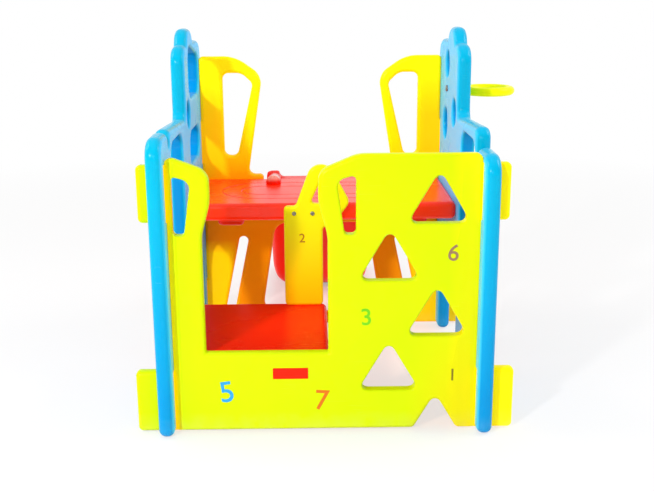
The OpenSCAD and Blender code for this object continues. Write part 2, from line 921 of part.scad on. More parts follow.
module bolt_place(x) {
    translate([x, hoop_y, hoop_z + bolt_rise])
        rotate([0, 90, 0])
            children();
}
module hoop_arm() {
    translate([outer_x + fit_gap, hoop_y, hoop_z + arm_rise])
        rotate([0, 90, 0])
            linear_extrude(arm_t)
                union() {
                    square([arm_h - 2 * arm_r, arm_w], center = true);
                    square([arm_h, arm_w - 2 * arm_r], center = true);
                    for (x = [-1, 1], y = [-1, 1])
                        translate([x * (arm_h / 2 - arm_r), y * (arm_w / 2 - arm_r)])
                            circle(arm_r);
                }
}
module hoop() {
    color(yellow)
        difference() {
            union() {
                translate([hoop_mid_x, hoop_y, hoop_z])
                    rotate_extrude()
                        translate([hoop_r, 0])
                            circle(d = hoop_bar);
                difference() {
                    hoop_arm();
                    translate([hoop_mid_x, hoop_y, hoop_z - arm_h])
                        cylinder(r = hoop_r, h = 2 * arm_h);
                }
            }
            bolt_place(outer_x - overrun)
                cylinder(d = bolt_d + 2 * fit_gap, h = overrun + hoop_gap + bolt_tip);
            bolt_place(outer_x + fit_gap)
                cylinder(d = nut_w / cos(30) + 2 * fit_gap, h = nut_t + 2 * fit_gap, $fn = 6);
        }
}
module hoop_bolt() {
    color(steel) {
        bolt_place(inner_x - bolt_head_t)
            cylinder(d = bolt_head_d, h = bolt_head_t);
        bolt_place(inner_x)
            cylinder(d = bolt_d, h = side_t + fit_gap + nut_t + fit_gap);
    }
}
module hoop_nut() {
    color(steel)
        difference() {
            bolt_place(outer_x + 2 * fit_gap)
                cylinder(d = nut_w / cos(30), h = nut_t, $fn = 6);
            bolt_place(outer_x)
                cylinder(d = bolt_d + fit_gap, h = overrun);
        }
}

placed() left_side_panel();
placed() right_side_panel();
placed() front_panel();
placed() rear_panel();
placed() deck();
placed() step();
placed() centre_post();
placed() slide();
placed() hoop();
placed() hoop_bolt();
placed() hoop_nut();
placed() post_screws();
placed() post_foot_screws();
placed() slide_screws();
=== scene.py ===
# %% [markdown]
# # A toddler climbing gym, dressed over its construction model
#
# The gym is a set of big hollow mouldings: two blue side panels, a yellow front and rear panel
# whose tabs pass through them, a red deck, step and slide, and a ball hoop. The construction model
# is loaded first and stays where it is. Every new piece is modelled in the same frame, so it goes
# where the plan says and needs no fitting by eye.

# %% Load the construction model
import bmesh
import bpy
from math import atan, atan2, cos, degrees, pi, prod, radians, sin, tan
from mathutils import Matrix, Vector


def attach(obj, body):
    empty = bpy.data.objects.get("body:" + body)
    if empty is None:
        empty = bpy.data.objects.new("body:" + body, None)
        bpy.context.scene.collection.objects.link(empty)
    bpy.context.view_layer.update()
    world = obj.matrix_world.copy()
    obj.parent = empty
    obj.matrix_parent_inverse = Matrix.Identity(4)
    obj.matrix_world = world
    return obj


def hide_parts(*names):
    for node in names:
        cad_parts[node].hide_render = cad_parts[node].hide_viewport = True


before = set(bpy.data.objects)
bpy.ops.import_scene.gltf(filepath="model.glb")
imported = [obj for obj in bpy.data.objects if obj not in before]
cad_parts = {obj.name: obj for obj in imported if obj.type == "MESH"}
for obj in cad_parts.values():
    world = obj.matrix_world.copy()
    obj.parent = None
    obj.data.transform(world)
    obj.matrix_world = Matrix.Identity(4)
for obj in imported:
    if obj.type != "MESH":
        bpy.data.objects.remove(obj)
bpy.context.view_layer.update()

# %% [markdown]
# ## The plan's measures
#
# The plan is drawn in millimetres from the middle of the front edge on the floor: X to the right,
# Y to the back, Z up. The finished model stands on the middle of its own box, so one helper turns a
# place on the plan into metres there.

# %% Measures that several pieces share
MM = 0.001
middle_x, middle_y = 56.5, 840.7

frame_w, side_t, panel_t, gap = 864, 42, 36, 0.4
inner_x = frame_w / 2 - side_t / 2
outer_x = frame_w / 2 + side_t / 2
end_x = inner_x - gap
front_y, rear_y = 41, 915
deck_z, deck_y, deck_back = 540, 496, 914.6
step_z, step_t = 222, 68
step_low = step_z - step_t
post_y, post_t = 465.6, 30
post_mid_y = post_y + post_t / 2
tab_t, tab_out = 31, 2


def on_plan(x, y, z):
    """A place on the plan, in metres from the model's own origin."""
    return Vector(((x - middle_x) * MM, (y - middle_y) * MM, z * MM))


print("left side panel stands at", on_plan(-frame_w / 2, 0, 0))

# %% [markdown]
# ## The camera
#
# The picture was taken from the front, a little left of the middle and above the top of the gym.
# The place, the turn and the lens were worked out from the straight edges of the panels. A camera
# looks along its own -Z, so its three axes are worked out and put into one matrix.

# %% Set the camera
yaw, pitch, roll = -0.0145, 0.25987, -0.0061
ahead = Vector((-sin(yaw), cos(yaw), 0))
aside = Vector((cos(yaw), sin(yaw), 0))
above = Vector((0, 0, 1))
sight = cos(pitch) * ahead - sin(pitch) * above
tilted = sin(pitch) * ahead + cos(pitch) * above
right_axis = cos(roll) * aside + sin(roll) * tilted
up_axis = cos(roll) * tilted - sin(roll) * aside

bpy.ops.object.select_all(action="DESELECT")
bpy.ops.object.camera_add()
camera = bpy.context.object
camera.name = "camera"
camera.matrix_world = Matrix.Translation(on_plan(-29, -2411, 1178)) @ Matrix(
    (right_axis, up_axis, -sight)).transposed().to_4x4()
camera.data.sensor_width = 36
camera.data.sensor_fit = "HORIZONTAL"
camera.data.lens = 53.39
bpy.context.scene.camera = camera
print("camera at", camera.location, "lens", camera.data.lens)

# %% [markdown]
# ## Shader sums in plain Python
#
# A finish is a small graph of nodes. Writing it node by node is long, so one class wraps a socket:
# plus, minus and times on it add Math nodes, also with a number on the left. All other nodes come
# from its `node` method, which takes the type, the settings and the inputs.

# %% Wrap a socket
class Shade:
    """A socket of a node graph that can be used in sums."""

    def __init__(self, graph, socket=None):
        self.graph, self.socket = graph, socket

    def node(self, kind, settings=(), inputs=(), output=0):
        made = self.graph.nodes.new(kind)
        for name, value in dict(settings).items():
            setattr(made, name, value)
        for name, value in dict(inputs).items():
            if isinstance(value, Shade):
                self.graph.links.new(value.socket, made.inputs[name])
            else:
                made.inputs[name].default_value = value
        return Shade(self.graph, made.outputs[output])

    def sum_of(self, operation, first, second=0.0):
        return self.node("ShaderNodeMath", {"operation": operation}, {0: first, 1: second})

    def __add__(self, other):
        return self.sum_of("ADD", self, other)

    def __radd__(self, other):
        return self.sum_of("ADD", other, self)

    def __sub__(self, other):
        return self.sum_of("SUBTRACT", self, other)

    def __rsub__(self, other):
        return self.sum_of("SUBTRACT", other, self)

    def __mul__(self, other):
        return self.sum_of("MULTIPLY", self, other)

    def __rmul__(self, other):
        return self.sum_of("MULTIPLY", other, self)

    def __abs__(self):
        return self.sum_of("ABSOLUTE", self)

    def between(self, low, high):
        """0 at low, 1 at high, and a straight rise between them."""
        return self.node("ShaderNodeMapRange", {"clamp": True}, {0: self, 1: low, 2: high})

    def blend(self, first, second):
        """The first colour where this value is 0, the second where it is 1."""
        return self.node("ShaderNodeMix", {"data_type": "RGBA"}, {0: self, 6: first, 7: second}, 2)

    def along(self):
        """The X, Y and Z of a vector, as three values."""
        parts = self.node("ShaderNodeSeparateXYZ", (), {0: self}).socket.node.outputs
        return [Shade(self.graph, part) for part in parts]

    def feed(self, socket):
        self.graph.links.new(self.socket, socket)


def shown(code):
    """The linear colour of a screen colour such as FF8000."""
    parts = [int(code[i:i + 2], 16) / 255 for i in (0, 2, 4)]
    return tuple(p / 12.92 if p < 0.04045 else ((p + 0.055) / 1.055) ** 2.4 for p in parts) + (1,)


def new_finish(name):
    """A material with its shader's sockets, and a first value to start sums from."""
    material = bpy.data.materials.new(name)
    material.use_nodes = True
    graph = material.node_tree
    return material, graph.nodes["Principled BSDF"].inputs, Shade(graph)


print("a middle grey is", shown("808080")[0])

# %% [markdown]
# ## Moulded plastic
#
# All big pieces are blow-moulded polyethylene. It is never one flat colour: the wall cools
# unevenly, so the tone is faintly cloudy, the gloss comes and goes, the skin has an orange-peel
# grain of about a millimetre and a slow waviness that bends the reflections. Where hands and feet
# pass, there are fine scratches, and dust dulls the foot. All of this comes from noise on Object
# coordinates, so it stays in place on every piece. On top of that, light and shade are painted into
# the colour: a list of tones, mostly painted shade and painted light, each with a rule for where it
# is, and a painted glow that lightens the shaded parts.

# %% Make the moulded finish
def moulded(name, tone, deep, painted_tones=(), parting=None, shine=0.08, sheen=0.0, coat=0.0,
            polished=None, glow=None):
    """Moulded plastic: tone and deep are its two cloudy shades. The list after them holds (colour, rule)
    pairs of tones, mostly painted shade and painted light, whose rule gives a mask from x, y and z.
    Parting is the axis and place of the mould line. Polished is a rule for where the clear coat is, and
    glow is a colour, a strength and a rule for a painted glow of light."""
    material, skin, start = new_finish(name)
    place = start.node("ShaderNodeTexCoord", output="Object")

    def noise(scale, detail=3.0, roughness=0.5, vector=place):
        return start.node("ShaderNodeTexNoise", (), {
            "Vector": vector, "Scale": scale, "Detail": detail, "Roughness": roughness})

    x, y, z = place.along()
    cloud = noise(3.5, 4.0).between(0.35, 0.7)
    colour = (0.8 * cloud).blend(shown(tone), shown(deep))
    # Each listed tone, mostly painted shade and painted light, is laid on where its rule's mask says.
    for code, rule in painted_tones:
        colour = rule(x, y, z).blend(colour, shown(code))
    speck = noise(160, 2.0).between(0.62, 0.78)
    colour = (0.1 * speck).blend(colour, shown(deep))

    stretched = start.node("ShaderNodeMapping", (), {
        "Vector": place, "Rotation": (0.4, 0.9, 0.5), "Scale": (9, 260, 260)})
    crossing = start.node("ShaderNodeMapping", (), {
        "Vector": place, "Rotation": (1.1, -0.5, -0.8), "Scale": (11, 300, 300)})
    patch = noise(5.0, 2.0).between(0.5, 0.72)
    scratch = patch * (noise(1.0, 2.0, 0.6, stretched).between(0.66, 0.74)
                       + noise(1.0, 2.0, 0.6, crossing).between(0.68, 0.76))
    dust = z.between(0.06, 0.0) * noise(26, 4.0).between(0.3, 0.75)
    colour = (0.08 * dust + 0.06 * scratch).blend(colour, shown("E8E2D4"))

    grain = noise(620, 2.0)
    wave = noise(11, 2.0)
    relief = 0.00012 * grain + 0.0011 * wave - 0.00016 * scratch
    if parting:
        which, where = parting
        across = abs((x, y, z)[which] - where)
        relief = relief + 0.0005 * across.between(0.0013, 0.0004)
    start.node("ShaderNodeBump", (), {
        "Strength": 0.5, "Distance": 1.0, "Height": relief}).feed(skin["Normal"])
    (0.2 + 0.1 * cloud + 0.05 * grain + 0.2 * scratch + 0.18 * dust).feed(skin["Roughness"])
    colour.feed(skin["Base Color"])
    skin["Specular IOR Level"].default_value = shine
    skin["Sheen Weight"].default_value = sheen
    skin["Sheen Roughness"].default_value = 0.3
    skin["Coat Weight"].default_value = coat
    skin["Coat Roughness"].default_value = 0.1
    if polished:
        (coat * polished(x, y, z)).feed(skin["Coat Weight"])
    # A painted glow: the plastic gives off light though it is no lamp, which lightens its shade.
    if glow:
        code, strength, rule = glow
        rule(x, y, z).blend((0, 0, 0, 1), shown(code)).feed(skin["Emission Color"])
        skin["Emission Strength"].default_value = strength
    return material


left_mid_x = on_plan(-frame_w / 2, 0, 0).x
right_mid_x = on_plan(frame_w / 2, 0, 0).x
front_mid_y = on_plan(0, front_y + panel_t / 2, 0).y
rear_mid_y = on_plan(0, rear_y + panel_t / 2, 0).y
print("mould lines at x", left_mid_x, right_mid_x, "and y", front_mid_y, rear_mid_y)

# %% [markdown]
# ## Where a tone begins and ends
#
# A rule gives a mask: 0 where a tone is absent and 1 where it is full. Most rules follow one axis, so
# a helper makes such a rule from the place where the tone begins and the place where it is full, in
# metres on the finished model. Other helpers multiply and add rules. That is shorter than a function
# for each rule, and every place has its name beside it.

# %% Mark the places on the panels
X, Y, Z = range(3)
gym_x = on_plan(0, 0, 0).x


def ramp(axis, begins, full):
    """A rule that goes from 0 to 1 between two places on an axis."""
    return lambda *place: place[axis].between(begins, full)


def aside_from(axis, middle, begins, full):
    """A rule that goes from 0 to 1 between two distances from a place on an axis."""
    return lambda *place: abs(place[axis] - middle).between(begins, full)


def everywhere(*place):
    return 1.0


def all_of(*rules):
    """A rule for the places that all these rules want."""
    return lambda *place: prod(rule(*place) for rule in rules)


def mixture(*shares):
    """A rule that adds other rules, each with its share."""
    return lambda *place: sum(share * rule(*place) for share, rule in shares)


# Painted light: the blue is painted fresher towards the tops, as if lit from above.
painted_top_light = ramp(Z, 0.1, 0.65)
above_floor = ramp(Z, 0.0, 0.1)
above_deck = ramp(Z, 0.5, 0.6)
# The walls of these holes in the side panels get painted shade.
upper_holes = all_of(aside_from(Y, -0.085, 0.2, 0.18), ramp(Z, 0.6, 0.63), ramp(Z, 1.006, 0.995))
window_hole = all_of(aside_from(Y, -0.527, 0.14, 0.13), ramp(Z, 0.38, 0.39), ramp(Z, 0.785, 0.775))

# Painted shade on the front: the left margin is painted golden where the side panel casts its shadow, and
# the sloped right margin where it turns away from the light. The shaded tabs are painted lighter, and the
# lower right corner is warmer.
left_edge = all_of(ramp(X, -0.446, -0.462), ramp(X, -0.508, -0.49))
right_edge = ramp(X, 0.27, 0.352)
right_foot = all_of(ramp(X, 0.16, 0.34), ramp(Z, 0.42, 0.12))
right_tabs = ramp(X, 0.37, 0.4)
# A painted glow that lightens the shaded margins and tabs of the front.
painted_margin_glow = mixture((1, left_edge), (0.45, right_edge), (0.3, right_tabs))

# Painted shade on the rear panel: golden beside the side panels and at the handles' feet, brown under the
# deck. The low outer corners are painted lighter as a painted pool of light.
beside_panels = all_of(aside_from(X, gym_x, 0.29, 0.36), ramp(Z, 0.9, 0.76))
handle_feet = ramp(Z, 0.68, 0.56)
under_deck = ramp(Z, 0.56, 0.34)
low_corners = all_of(aside_from(X, gym_x, 0.29, 0.33), ramp(Z, 0.32, 0.27))
# A painted glow of the rear panel: weak everywhere, full above the deck and stronger in the painted pool of
# light.
painted_rear_glow = mixture((0.17, everywhere), (0.83, above_deck), (0.4, low_corners))

# Painted shade: the foot of the post is painted golden.
post_foot = ramp(Z, 0.5, 0.24)
# Painted shade: the underside of the deck is painted darker.
under_slab = ramp(Z, 0.49, 0.483)
# Painted highlight: the rail tops of the slide are painted pale.
rail_tops = ramp(Z, 0.55, 0.562)
slide_gloss = mixture((0.8, rail_tops), (0.4, aside_from(X, gym_x, 0.15, 0.12)))
print("the gym's middle plane is at x", gym_x)

# %% [markdown]
# ## The gym's colours, with painted light and shade
#
# The blue runs from a deep tone at the feet to a fresher one at the tops as painted light from
# above. Its inner faces are painted pale as a painted reflection with a painted blue glow, and its
# hole walls are deeper as painted shade. The front is a lemon yellow, painted golden at its edges as
# painted shade and warmer towards its lower right corner, with lighter tabs and a painted glow where
# they lie in shade. The rear panel and the post run from lemon at the top to golden below the deck
# as painted shade, with a painted pool of light at the rear panel's low corners. The deck, step and
# slide are an orange red. The deck's underside is painted darker as painted shade, the slide's rail
# tops are painted pale as a painted highlight, and all the yellow and red pieces get a painted glow.

# %% Mix the plastic colours
def blue_plastic(name, tone, deep, top, mid_x, inwards):
    """The finish of a side panel. Inwards is the way from its middle plane to its inner face."""
    begins, full = mid_x + inwards * 0.015, mid_x + inwards * 0.02
    inner_face, other_faces = ramp(X, begins, full), ramp(X, full, begins)
    # Painted shade deepens the hole walls. The inner face is painted pale as a painted reflection and gets
    # a painted blue glow.
    painted_hole_shade = all_of(aside_from(X, mid_x, 0.017, 0.011), mixture((1, upper_holes), (1, window_hole)))
    return moulded(name, tone, deep, [(top, painted_top_light), ("0092DC", painted_hole_shade), ("44CCFF", inner_face)],
                   (X, mid_x), shine=0.05, sheen=0.15, coat=0.18, polished=other_faces,
                   glow=("0080FF", 0.12, inner_face))


left_blue = blue_plastic("left_blue", "009CDC", "0092D6", "00B2D8", left_mid_x, 1)
right_blue = blue_plastic("right_blue", "009ADE", "0090D8", "00B2DC", right_mid_x, -1)
lemon = moulded("lemon_yellow", "DAEE04", "D4E902", [
    ("F0E408", right_edge), ("F2E00A", right_foot), ("FFDC0A", left_edge), ("FFF00A", right_tabs)],
    (Y, front_mid_y), glow=("FFCA00", 0.36, painted_margin_glow))
golden = moulded("golden_yellow", "FAF406", "F4EE04", [
    ("FFCC08", beside_panels), ("FFC408", handle_feet), ("FF9A06", under_deck), ("FFE008", low_corners)],
    (Y, rear_mid_y), glow=("FFA800", 0.42, painted_rear_glow))
# The glow of the post, hoop, deck, step and slide is painted light: each gives off light though it is no
# lamp.
post_yellow = moulded("post_yellow", "F6F20A", "F0EA08", [("FFC20A", post_foot)],
                      glow=("FFC400", 0.14, above_floor))
hoop_yellow = moulded("hoop_yellow", "F8FA0E", "F2F20A", glow=("FFF400", 0.18, above_floor))
deck_red = moulded("deck_red", "FF300E", "F8280A", [("B01C06", under_slab)], shine=0.4,
                   glow=("FF2800", 0.3, above_floor))
step_red = moulded("step_red", "F4240C", "EA1C08", shine=0.1, glow=("FF2400", 0.06, above_floor))
slide_red = moulded("slide_red", "FF2410", "F61E0C", [("FF9A86", rail_tops)], shine=0.01,
                    coat=1.0, polished=slide_gloss, glow=("FF2400", 0.12, above_floor))
print("plastic finishes:", [m.name for m in bpy.data.materials if m.users == 0])

# %% [markdown]
# ## Steel and ink
#
# The fasteners are zinc-plated steel: metal with a fine grain and darker patches where the plating
# has bloomed. The plain numbers on the front and the post are printed ink, a thin satin film with the
# uneven screen of the print.

# %% Make the steel and ink finishes
def plated_steel(name):
    material, skin, start = new_finish(name)
    place = start.node("ShaderNodeTexCoord", output="Object")
    fine = start.node("ShaderNodeTexNoise", (), {"Vector": place, "Scale": 1400, "Detail": 2.0})
    bloom = start.node("ShaderNodeTexNoise", (), {"Vector": place, "Scale": 180, "Detail": 3.0})
    bloom.between(0.35, 0.75).blend(shown("A6A69E"), shown("7A7A74")).feed(skin["Base Color"])
    (0.28 + 0.2 * bloom).feed(skin["Roughness"])
    start.node("ShaderNodeBump", (), {
        "Strength": 0.4, "Distance": 1.0, "Height": 0.00008 * fine}).feed(skin["Normal"])
    skin["Metallic"].default_value = 1.0
    return material


def ink(name, tone, deep):
    material, skin, start = new_finish(name)
    place = start.node("ShaderNodeTexCoord", output="Object")
    screen = start.node("ShaderNodeTexNoise", (), {"Vector": place, "Scale": 420, "Detail": 3.0})
    screen.between(0.4, 0.72).blend(shown(tone), shown(deep)).feed(skin["Base Color"])
    (0.36 + 0.16 * screen).feed(skin["Roughness"])
    start.node("ShaderNodeBump", (), {
        "Strength": 0.4, "Distance": 1.0, "Height": 0.0001 * screen}).feed(skin["Normal"])
    skin["Specular IOR Level"].default_value = 0.2
    return material


steel = plated_steel("plated_steel")
print("finishes:", len(bpy.data.materials))

# %% [markdown]
# ## Selecting in code
#
# Modelling by hand starts with a click on a point or an edge. Here a rule does the clicking: it is
# asked about every point, edge or face of the piece in edit mode, and what it says yes to is
# selected. Everything else is let go first, because an operator acts on all that is selected.

# %% Selection helpers
touching = 1e-6


def let_go():
    """Leaves edit mode and lets go of everything."""
    if bpy.context.object and bpy.context.object.mode != "OBJECT":
        bpy.ops.object.mode_set(mode="OBJECT")
    bpy.ops.object.select_all(action="DESELECT")


def take(piece, mode="OBJECT"):
    """Makes this piece the only selected and the active one."""
    let_go()
    piece.select_set(True)
    bpy.context.view_layer.objects.active = piece
    if mode != "OBJECT":
        bpy.ops.object.mode_set(mode=mode)


def pick(piece, kind, rule):
    """In edit mode, selects the points, edges or faces of the piece that the rule wants."""
    bpy.ops.mesh.select_mode(type=kind)
    bpy.ops.mesh.select_all(action="DESELECT")
    mesh = bmesh.from_edit_mesh(piece.data)
    wanted = [p for p in {"VERT": mesh.verts, "EDGE": mesh.edges, "FACE": mesh.faces}[kind] if rule(p)]
    for part in wanted:
        part.select_set(True)
    mesh.select_flush_mode()
    bmesh.update_edit_mesh(piece.data)
    return len(wanted)


def face_outwards():
    """In edit mode, makes all faces of the piece point outwards."""
    bpy.ops.mesh.select_all(action="SELECT")
    bpy.ops.mesh.normals_make_consistent(inside=False)


def move_all(x, y, z):
    """In edit mode, moves the whole piece, in millimetres."""
    bpy.ops.mesh.select_all(action="SELECT")
    bpy.ops.transform.translate(value=(x * MM, y * MM, z * MM))


def settle():
    """Puts the place, turn and scale of the piece in hand into its mesh."""
    bpy.ops.object.transform_apply(location=True, rotation=True, scale=True)


print("places closer than", touching, "m count as one")

# %% [markdown]
# ## Plates from corners
#
# A panel is a flat outline with round corners, as thick as a board. A circle with as many points as
# the outline has corners is the start: each point is moved to its corner, and a vertex bevel rounds
# it. For a corner of radius r the bevel reaches r / tan(half the angle) along both edges. Then the
# face is extruded to its thickness. Drawing the whole round outline point by point would give the
# same shape, but nobody could read or change it.

# %% Make plates
def outline(name, corners, fine=9):
    """A flat face on the XY plane from corners (x, y, radius) in millimetres, going round to the
    left. It is left in edit mode."""
    let_go()
    bpy.ops.mesh.primitive_circle_add(vertices=len(corners), radius=1.0, fill_type="NGON")
    piece = bpy.context.object
    piece.name = name
    bpy.ops.object.mode_set(mode="EDIT")
    starts = [point.co.copy() for point in bmesh.from_edit_mesh(piece.data).verts]
    for start, (x, y, r) in zip(starts, corners):
        pick(piece, "VERT", lambda p: (p.co - start).length < touching)
        bpy.ops.transform.translate(value=Vector((x * MM, y * MM, 0)) - start)
    for i, (x, y, r) in enumerate(corners):
        before, after = corners[i - 1], corners[(i + 1) % len(corners)]
        turn = atan2(before[1] - y, before[0] - x) - atan2(after[1] - y, after[0] - x)
        angle = abs((turn + pi) % (2 * pi) - pi)
        pick(piece, "VERT", lambda p: abs(p.co.x - x * MM) + abs(p.co.y - y * MM) < touching)
        bpy.ops.mesh.bevel(offset=r * MM / tan(angle / 2), affect="VERTICES", clamp_overlap=False,
                           segments=max(3, round(degrees(pi - angle) / fine)), profile=0.5)
    return piece


def plate(name, corners, thickness, fine=9):
    """An outline made as thick as a board, half above and half below the XY plane."""
    piece = outline(name, corners, fine)
    move_all(0, 0, -thickness / 2)
    bpy.ops.mesh.extrude_region_move(TRANSFORM_OT_translate={"value": (0, 0, thickness * MM)})
    face_outwards()
    bpy.ops.object.mode_set(mode="OBJECT")
    return piece


def box_corners(x, y, w, h, r):
    return [(x, y, r), (x + w, y, r), (x + w, y + h, r), (x, y + h, r)]


def round_corners(x, y, r):
    """A square whose corners are so round that it is a circle."""
    return box_corners(x - r, y - r, 2 * r, 2 * r, r - 0.05)


def mirrored(corners, x):
    """The corners on the other side of x, in an order that still goes round to the left."""
    return [(2 * x - a, b, r) for a, b, r in reversed(corners)]


print("a round hole has", len(round_corners(0, 0, 1)), "corners")

# %% [markdown]
# ## Soft edges and clean holes
#
# A moulding has no sharp edge. The rim of an outline is bevelled with several segments. The rim of a
# hole could be bevelled after the hole is cut, but a bevel there runs into the many small faces that
# a cut leaves. So the plug is shaped instead: it gets a wide collar above and below the board, and
# the corner under each collar is rounded. What it cuts away then leaves a round rim in one go.

# %% Soften, cut and pierce
def carve(piece, cutter, operation="DIFFERENCE"):
    """Cuts the cutter out of the piece, or adds it, and removes the cutter."""
    take(piece)
    bpy.ops.object.modifier_add(type="BOOLEAN")
    change = piece.modifiers[-1]
    change.operation, change.solver, change.object = operation, "EXACT", cutter
    bpy.ops.object.modifier_apply(modifier=change.name)
    bpy.data.objects.remove(cutter)


def is_rim(edge):
    """Whether an edge lies between a broad face and a wall that stands across it."""
    tilts = sorted(abs(face.normal.z) for face in edge.link_faces)
    return len(tilts) == 2 and tilts[0] < 0.3 and tilts[1] > 0.9


def soften(piece, radius, steps=5, rule=is_rim):
    """Rounds the edges that the rule wants."""
    take(piece, "EDIT")
    pick(piece, "EDGE", rule)
    bpy.ops.mesh.bevel(offset=radius * MM, offset_type="OFFSET", segments=steps, profile=0.5,
                       affect="EDGES", clamp_overlap=False, loop_slide=False)
    bpy.ops.object.mode_set(mode="OBJECT")


def pierce(piece, corners, thickness, lip):
    """Cuts a hole with a round rim through a plate that lies on the XY plane."""
    proud, collar_w, collar_t = 0.05, 2, 20
    level = (thickness / 2 + proud) * MM
    count = len(corners)
    middle = Vector((sum(c[0] for c in corners), sum(c[1] for c in corners), 0)) * MM / count
    plug = plate("plug", corners, thickness + 2 * proud, fine=7.5)
    take(plug, "EDIT")
    for side in (-1, 1):
        pick(plug, "FACE", lambda f: abs(f.calc_center_median().z - side * level) < touching)
        bpy.ops.mesh.extrude_region_move()
        bpy.ops.transform.resize(value=(collar_w, collar_w, 1), center_override=middle)
        bpy.ops.mesh.extrude_region_move(TRANSFORM_OT_translate={"value": (0, 0, side * collar_t * MM)})
    face_outwards()

    def under_collar(edge):
        heights = sorted(abs(face.calc_center_median().z) for face in edge.link_faces)
        return len(heights) == 2 and heights[0] < touching and abs(heights[1] - level) < touching

    soften(plug, lip, 5, under_collar)
    carve(piece, plug)


def block(name, low, high):
    """A box between two corners in millimetres, as a cutter or the start of a piece."""
    let_go()
    size = [(b - a) * MM for a, b in zip(low, high)]
    middle = [(a + b) / 2 * MM for a, b in zip(low, high)]
    bpy.ops.mesh.primitive_cube_add(size=1, location=middle, scale=size)
    settle()
    bpy.context.object.name = name
    return bpy.context.object


def soft_block(name, low, high, radius, steps=4):
    """A box with all its edges rounded."""
    piece = block(name, low, high)
    soften(piece, radius, steps, lambda edge: True)
    return piece


print("holes get their rims from a collared plug")

# %% [markdown]
# ## Standing, drilling and dressing
#
# A panel is drawn lying down and then stood up. Its place goes into its mesh, so that its object
# stays at the origin. Screw holes are drilled at their places on the plan. Then doubles are merged
# and the shading is smoothed up to an angle, with weighted normals, so that broad faces stay flat
# and only the round edges turn.

# %% Stand, drill, smooth and dress
standing_across = (90, 0, 0)
standing_along = (90, 0, 90)


def stand(piece, turn=(0, 0, 0), place=(0, 0, 0)):
    """Turns a piece, brings it to its place on the plan, and puts both into its mesh."""
    take(piece)
    piece.rotation_euler = [radians(a) for a in turn]
    piece.location = on_plan(*place)
    settle()


def drill(piece, place, turn, diameter, depth, sides=24):
    """Drills a hole from a place on the plan, along the turned -Z."""
    let_go()
    bpy.ops.mesh.primitive_cylinder_add(vertices=sides, radius=diameter / 2 * MM, depth=depth * MM,
                                        location=(0, 0, -depth / 2 * MM))
    bit = bpy.context.object
    settle()
    stand(bit, turn, place)
    carve(piece, bit)


def smooth(piece, angle=35):
    """Merges doubles, points the faces outwards and smooths the shading."""
    take(piece, "EDIT")
    bpy.ops.mesh.select_all(action="SELECT")
    bpy.ops.mesh.remove_doubles(threshold=0.02 * MM)
    face_outwards()
    bpy.ops.object.mode_set(mode="OBJECT")
    bpy.ops.object.shade_smooth_by_angle(angle=radians(angle))
    bpy.ops.object.modifier_add(type="WEIGHTED_NORMAL")
    piece.modifiers[-1].keep_sharp = True
    bpy.ops.object.modifier_apply(modifier=piece.modifiers[-1].name)


def dress(piece, node, material, angle=35):
    """Smooths a piece, gives it its finish, hangs it on the root body and hides the construction node it
    stands for.
    """
    smooth(piece, angle)
    piece.data.materials.clear()
    piece.data.materials.append(material)
    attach(piece, "root")
    if node:
        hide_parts(node)
    print(piece.name, "faces:", len(piece.data.polygons))


print("front stands", standing_across, "and sides stand", standing_along)

# %% [markdown]
# ## Side panels
#
# The two blue panels are the trunk of the gym: a low front lobe, a shelf, a tall rear part with a
# crown, a window, a crawl arch and holes to look through. The outer edge is almost half round. The
# outline's rim is rounded before the holes are cut, because the holes have a smaller radius.

# %% Draw the side panels
side_depth, shelf_h, shelf_fall, tall_y, tall_h = 978, 815, 18, 533, 1012
lobe_d, shelf_y = 152, 172
crown_h, crown_lean, crown_front, crown_back = 1058, 30, 622, 783.5
arch_y, arch_d, arch_h, arch_r = 458, 395, 400, 175
side_edge, side_rim, foot_r = 18, 10, 21
hoop_y, hoop_z, bolt_z = 753, 855, 862


def side_corners(lobe_h):
    dip = min(lobe_h - 30, shelf_h - 40)
    return [
        (0, 0, foot_r), (arch_y, 0, foot_r), (arch_y, arch_h, arch_r), (arch_y + arch_d, arch_h, arch_r),
        (arch_y + arch_d, 0, foot_r), (side_depth, 0, foot_r), (side_depth, tall_h, 55),
        (crown_back, tall_h, 14), (crown_back - crown_lean, crown_h, 55),
        (crown_front + crown_lean, crown_h, 55), (crown_front, tall_h, 14), (tall_y, tall_h, 55),
        (tall_y, shelf_h - shelf_fall, 28), (shelf_y, shelf_h, min(34, shelf_h - dip - 11)),
        (shelf_y, dip, 8), (lobe_d, dip, 8), (lobe_d, lobe_h, min(30, lobe_h - dip - 11)), (0, lobe_h, 55)]


window = box_corners(188, 400, 252, 371, 55)
front_round = round_corners(607, 802, 42)
long_hole = [(631, 842, 72), (908, 842, 50), (908, 966, 50), (631, 1020, 72)]
panel_slots = [(y, z, panel_t, h) for y in (front_y, rear_y) for z, h in ((-20, 197), (590, 152))]
deck_slot = (610.5, 497.5, 190, tab_t)
step_slot = (207.5, step_low, 120, tab_t)


def side_panel(name, lobe_h, holes, slots):
    piece = plate(name, side_corners(lobe_h), side_t)
    soften(piece, side_edge, 7)
    for hole in holes:
        pierce(piece, hole, side_t, side_rim)
    for y, z, d, h in slots:
        carve(piece, block("cutter", (y - gap, z - gap, -side_t), (y + d + gap, z + h + gap, side_t)))
    return piece


left_holes = [window, front_round, long_hole, box_corners(615, 637, 253, 104, 49)]
left_panel = side_panel("blue_left_side", 814, left_holes, panel_slots + [deck_slot, step_slot])
stand(left_panel, standing_along, (-frame_w / 2, 0, 0))
dress(left_panel, "left_side_panel", left_blue)

